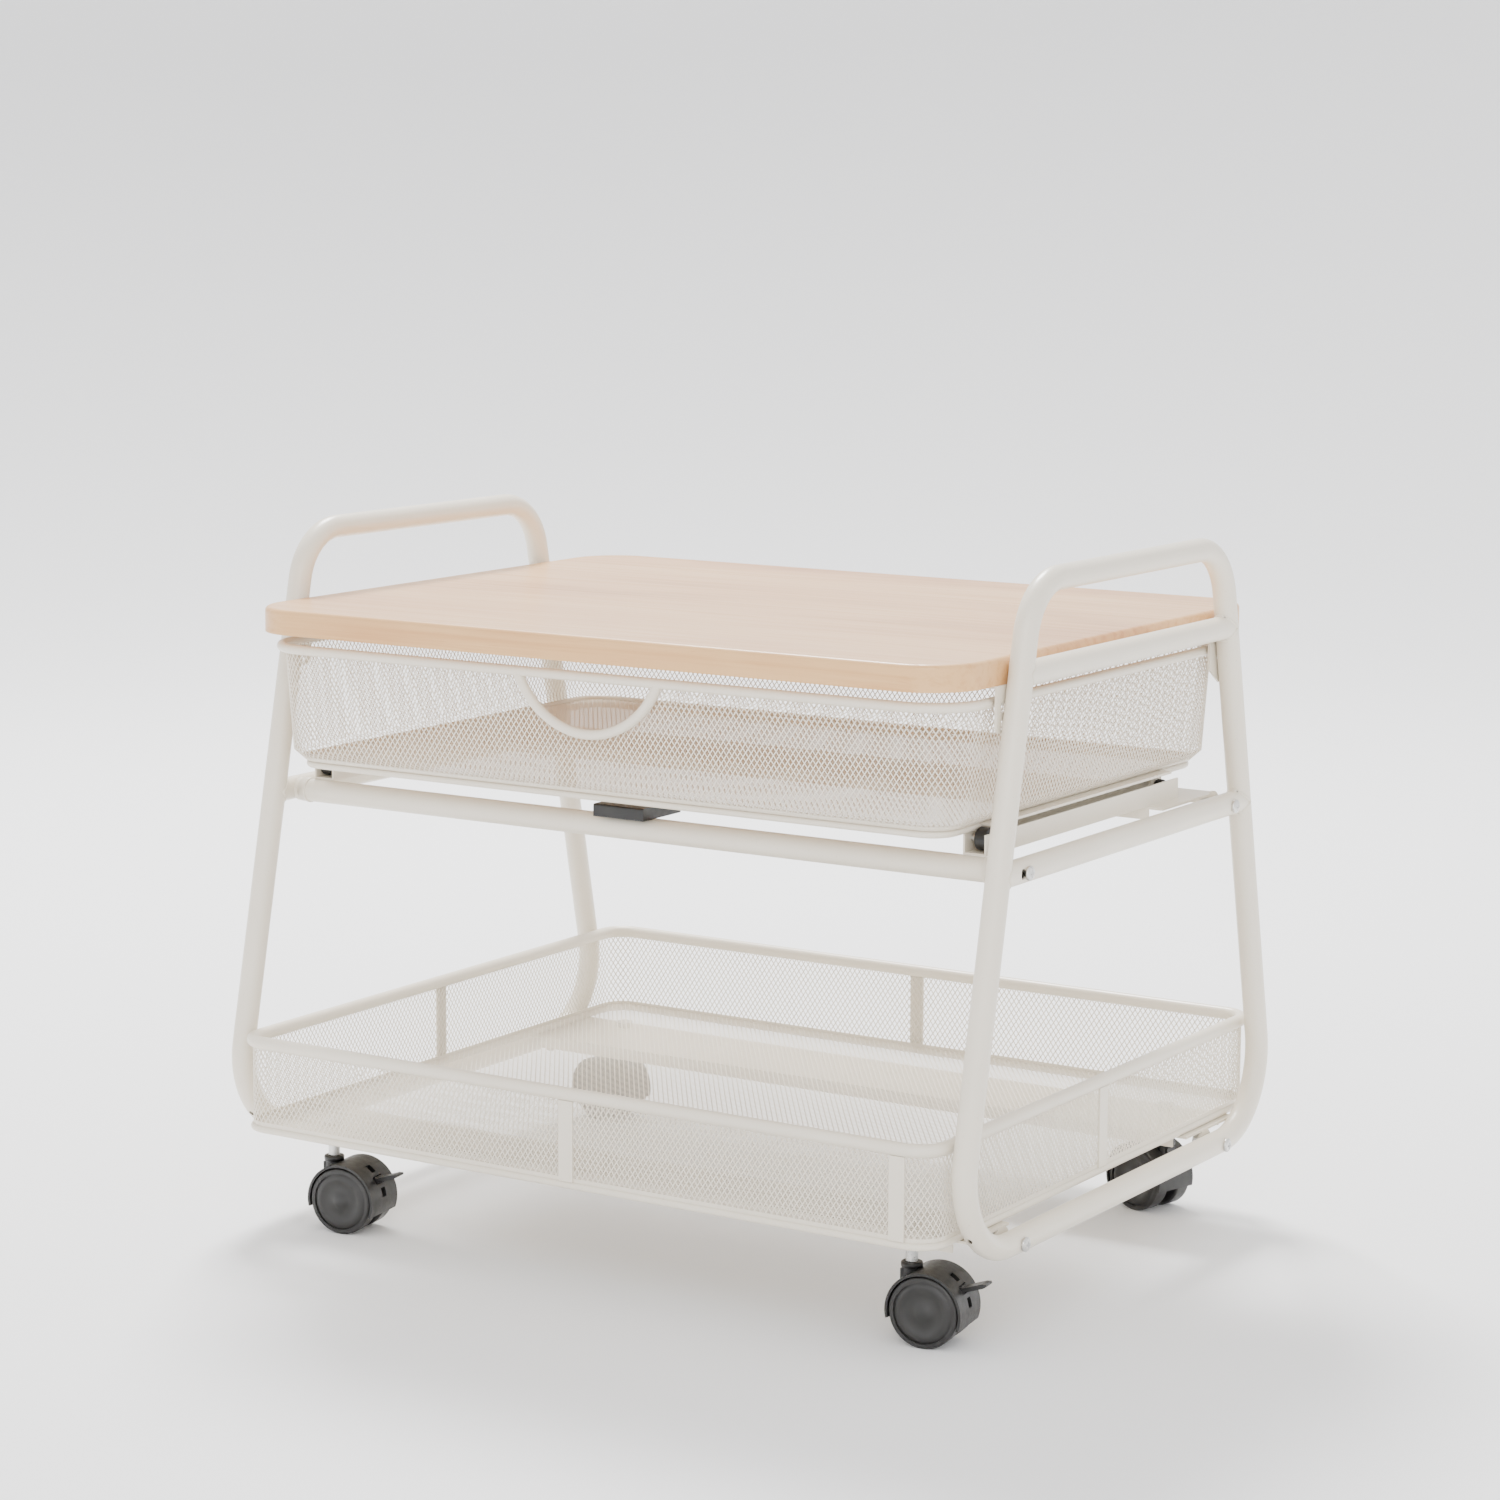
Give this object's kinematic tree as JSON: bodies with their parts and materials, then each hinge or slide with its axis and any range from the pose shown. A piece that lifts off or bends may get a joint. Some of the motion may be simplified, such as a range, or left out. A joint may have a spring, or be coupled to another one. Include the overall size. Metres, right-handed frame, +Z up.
{
  "type": "mobile printer stand",
  "caption": "Low rolling stand with bent tube side loops, a wooden top, a sliding mesh drawer with a half-round hand hole, a mesh tray and swivel casters.",
  "frame": {"origin": "on the floor under the middle of the stand", "axes": "+X to the stand's right, +Y to its rear, +Z up; the drawer opens towards -Y"},
  "size_m": [0.5396, 0.417, 0.4424],
  "materials": {
    "ivory_powder_coat": "smooth satin powder coat, warm off-white",
    "mesh_steel": "expanded diamond mesh, same powder coat",
    "maple_board": "satin light maple laminate, grain along the width",
    "black_plastic": "moulded black plastic, fine satin grain",
    "wheel_nylon": "moulded black nylon, satin",
    "roller_nylon": "black nylon",
    "zinc_steel": "bright zinc plate"
  },
  "bodies": {
    "frame": {"board_screws": "zinc_steel", "caster_stem_front_left": "zinc_steel", "caster_stem_front_right": "zinc_steel", "caster_stem_nuts": "zinc_steel", "caster_stem_rear_left": "zinc_steel", "caster_stem_rear_right": "zinc_steel", "channel_roller_pins": "zinc_steel", "drawer_catch": "black_plastic", "foot_plate_front": "ivory_powder_coat", "foot_plate_rear": "ivory_powder_coat", "foot_rail_bolts": "zinc_steel", "frame_nuts": "zinc_steel", "front_brackets": "ivory_powder_coat", "front_cross_tube": "ivory_powder_coat", "mid_rail_bolts": "zinc_steel", "mid_rail_left": "ivory_powder_coat", "mid_rail_right": "ivory_powder_coat", "rear_brackets": "ivory_powder_coat", "rear_cross_plate": "ivory_powder_coat", "side_loop_left": "ivory_powder_coat", "side_loop_right": "ivory_powder_coat", "slide_channel_left": "ivory_powder_coat", "slide_channel_right": "ivory_powder_coat", "top_board": "maple_board", "tray_foot_wire": "ivory_powder_coat", "tray_mesh": "mesh_steel", "tray_rim": "ivory_powder_coat", "tray_straps": "ivory_powder_coat", "upper_rail_left": "ivory_powder_coat", "upper_rail_right": "ivory_powder_coat"},
    "brake_lever_left": {"brake_lever_left": "black_plastic"},
    "brake_lever_right": {"brake_lever_right": "black_plastic"},
    "caster_front_left": {"caster_axle_front_left": "zinc_steel", "caster_hood_front_left": "black_plastic"},
    "caster_front_right": {"caster_axle_front_right": "zinc_steel", "caster_hood_front_right": "black_plastic"},
    "caster_rear_left": {"caster_axle_rear_left": "zinc_steel", "caster_hood_rear_left": "black_plastic"},
    "caster_rear_right": {"caster_axle_rear_right": "zinc_steel", "caster_hood_rear_right": "black_plastic"},
    "wheel_inner_front_left": {"caster_wheel_inner_front_left": "wheel_nylon"},
    "wheel_inner_front_right": {"caster_wheel_inner_front_right": "wheel_nylon"},
    "wheel_inner_rear_left": {"caster_wheel_inner_rear_left": "wheel_nylon"},
    "wheel_inner_rear_right": {"caster_wheel_inner_rear_right": "wheel_nylon"},
    "wheel_outer_front_left": {"caster_wheel_outer_front_left": "wheel_nylon"},
    "wheel_outer_front_right": {"caster_wheel_outer_front_right": "wheel_nylon"},
    "wheel_outer_rear_left": {"caster_wheel_outer_rear_left": "wheel_nylon"},
    "wheel_outer_rear_right": {"caster_wheel_outer_rear_right": "wheel_nylon"},
    "channel_roller_left": {"channel_roller_left": "roller_nylon"},
    "channel_roller_right": {"channel_roller_right": "roller_nylon"},
    "drawer": {"drawer_foot_wire": "ivory_powder_coat", "drawer_mesh": "mesh_steel", "drawer_pull_wire": "ivory_powder_coat", "drawer_rim": "ivory_powder_coat", "drawer_runner_left": "ivory_powder_coat", "drawer_runner_right": "ivory_powder_coat", "runner_roller_pins": "zinc_steel"},
    "runner_roller_left": {"runner_roller_left": "roller_nylon"},
    "runner_roller_right": {"runner_roller_right": "roller_nylon"}
  },
  "joints": [
    {"name": "drawer_slide", "type": "slide", "parent": "frame", "child": "drawer", "axis": [0, -1, 0], "range_m": [0, 0.2]},
    {"name": "channel_roller_left_spin", "type": "hinge", "parent": "frame", "child": "channel_roller_left", "pos_m": [-0.2364, -0.128, 0.28845], "axis": [1, 0, 0], "continuous": true},
    {"name": "runner_roller_left_spin", "type": "hinge", "parent": "drawer", "child": "runner_roller_left", "pos_m": [-0.2368, 0.091, 0.28715], "axis": [1, 0, 0], "continuous": true},
    {"name": "channel_roller_right_spin", "type": "hinge", "parent": "frame", "child": "channel_roller_right", "pos_m": [0.2364, -0.128, 0.28845], "axis": [1, 0, 0], "continuous": true},
    {"name": "runner_roller_right_spin", "type": "hinge", "parent": "drawer", "child": "runner_roller_right", "pos_m": [0.2368, 0.091, 0.28715], "axis": [1, 0, 0], "continuous": true},
    {"name": "caster_front_left_swivel", "type": "hinge", "parent": "frame", "child": "caster_front_left", "pos_m": [-0.2105, -0.161, 0.035], "axis": [0, 0, 1], "continuous": true},
    {"name": "wheel_outer_front_left_roll", "type": "hinge", "parent": "caster_front_left", "child": "wheel_outer_front_left", "pos_m": [-0.19763, -0.15919, 0.021], "axis": [-0.1392, 0.9903, 0], "continuous": true},
    {"name": "wheel_inner_front_left_roll", "type": "hinge", "parent": "caster_front_left", "child": "wheel_inner_front_left", "pos_m": [-0.19763, -0.15919, 0.021], "axis": [-0.1392, 0.9903, 0], "continuous": true},
    {"name": "brake_lever_left_press", "type": "hinge", "parent": "caster_front_left", "child": "brake_lever_left", "pos_m": [-0.17916, -0.1566, 0.03358], "axis": [-0.1392, 0.9903, 0], "range_deg": [0, 20]},
    {"name": "caster_front_right_swivel", "type": "hinge", "parent": "frame", "child": "caster_front_right", "pos_m": [0.2105, -0.161, 0.035], "axis": [0, 0, 1], "continuous": true},
    {"name": "wheel_outer_front_right_roll", "type": "hinge", "parent": "caster_front_right", "child": "wheel_outer_front_right", "pos_m": [0.22337, -0.15919, 0.021], "axis": [-0.1392, 0.9903, 0], "continuous": true},
    {"name": "wheel_inner_front_right_roll", "type": "hinge", "parent": "caster_front_right", "child": "wheel_inner_front_right", "pos_m": [0.22337, -0.15919, 0.021], "axis": [-0.1392, 0.9903, 0], "continuous": true},
    {"name": "brake_lever_right_press", "type": "hinge", "parent": "caster_front_right", "child": "brake_lever_right", "pos_m": [0.24185, -0.1566, 0.03358], "axis": [-0.1392, 0.9903, 0], "range_deg": [0, 20]},
    {"name": "caster_rear_left_swivel", "type": "hinge", "parent": "frame", "child": "caster_rear_left", "pos_m": [-0.2105, 0.161, 0.035], "axis": [0, 0, 1], "continuous": true},
    {"name": "wheel_outer_rear_left_roll", "type": "hinge", "parent": "caster_rear_left", "child": "wheel_outer_rear_left", "pos_m": [-0.2233, 0.16326, 0.021], "axis": [-0.1736, -0.9848, 0], "continuous": true},
    {"name": "wheel_inner_rear_left_roll", "type": "hinge", "parent": "caster_rear_left", "child": "wheel_inner_rear_left", "pos_m": [-0.2233, 0.16326, 0.021], "axis": [-0.1736, -0.9848, 0], "continuous": true},
    {"name": "caster_rear_right_swivel", "type": "hinge", "parent": "frame", "child": "caster_rear_right", "pos_m": [0.2105, 0.161, 0.035], "axis": [0, 0, 1], "continuous": true},
    {"name": "wheel_outer_rear_right_roll", "type": "hinge", "parent": "caster_rear_right", "child": "wheel_outer_rear_right", "pos_m": [0.198, 0.16458, 0.021], "axis": [-0.2756, -0.9613, 0], "continuous": true},
    {"name": "wheel_inner_rear_right_roll", "type": "hinge", "parent": "caster_rear_right", "child": "wheel_inner_rear_right", "pos_m": [0.198, 0.16458, 0.021], "axis": [-0.2756, -0.9613, 0], "continuous": true}
  ]
}
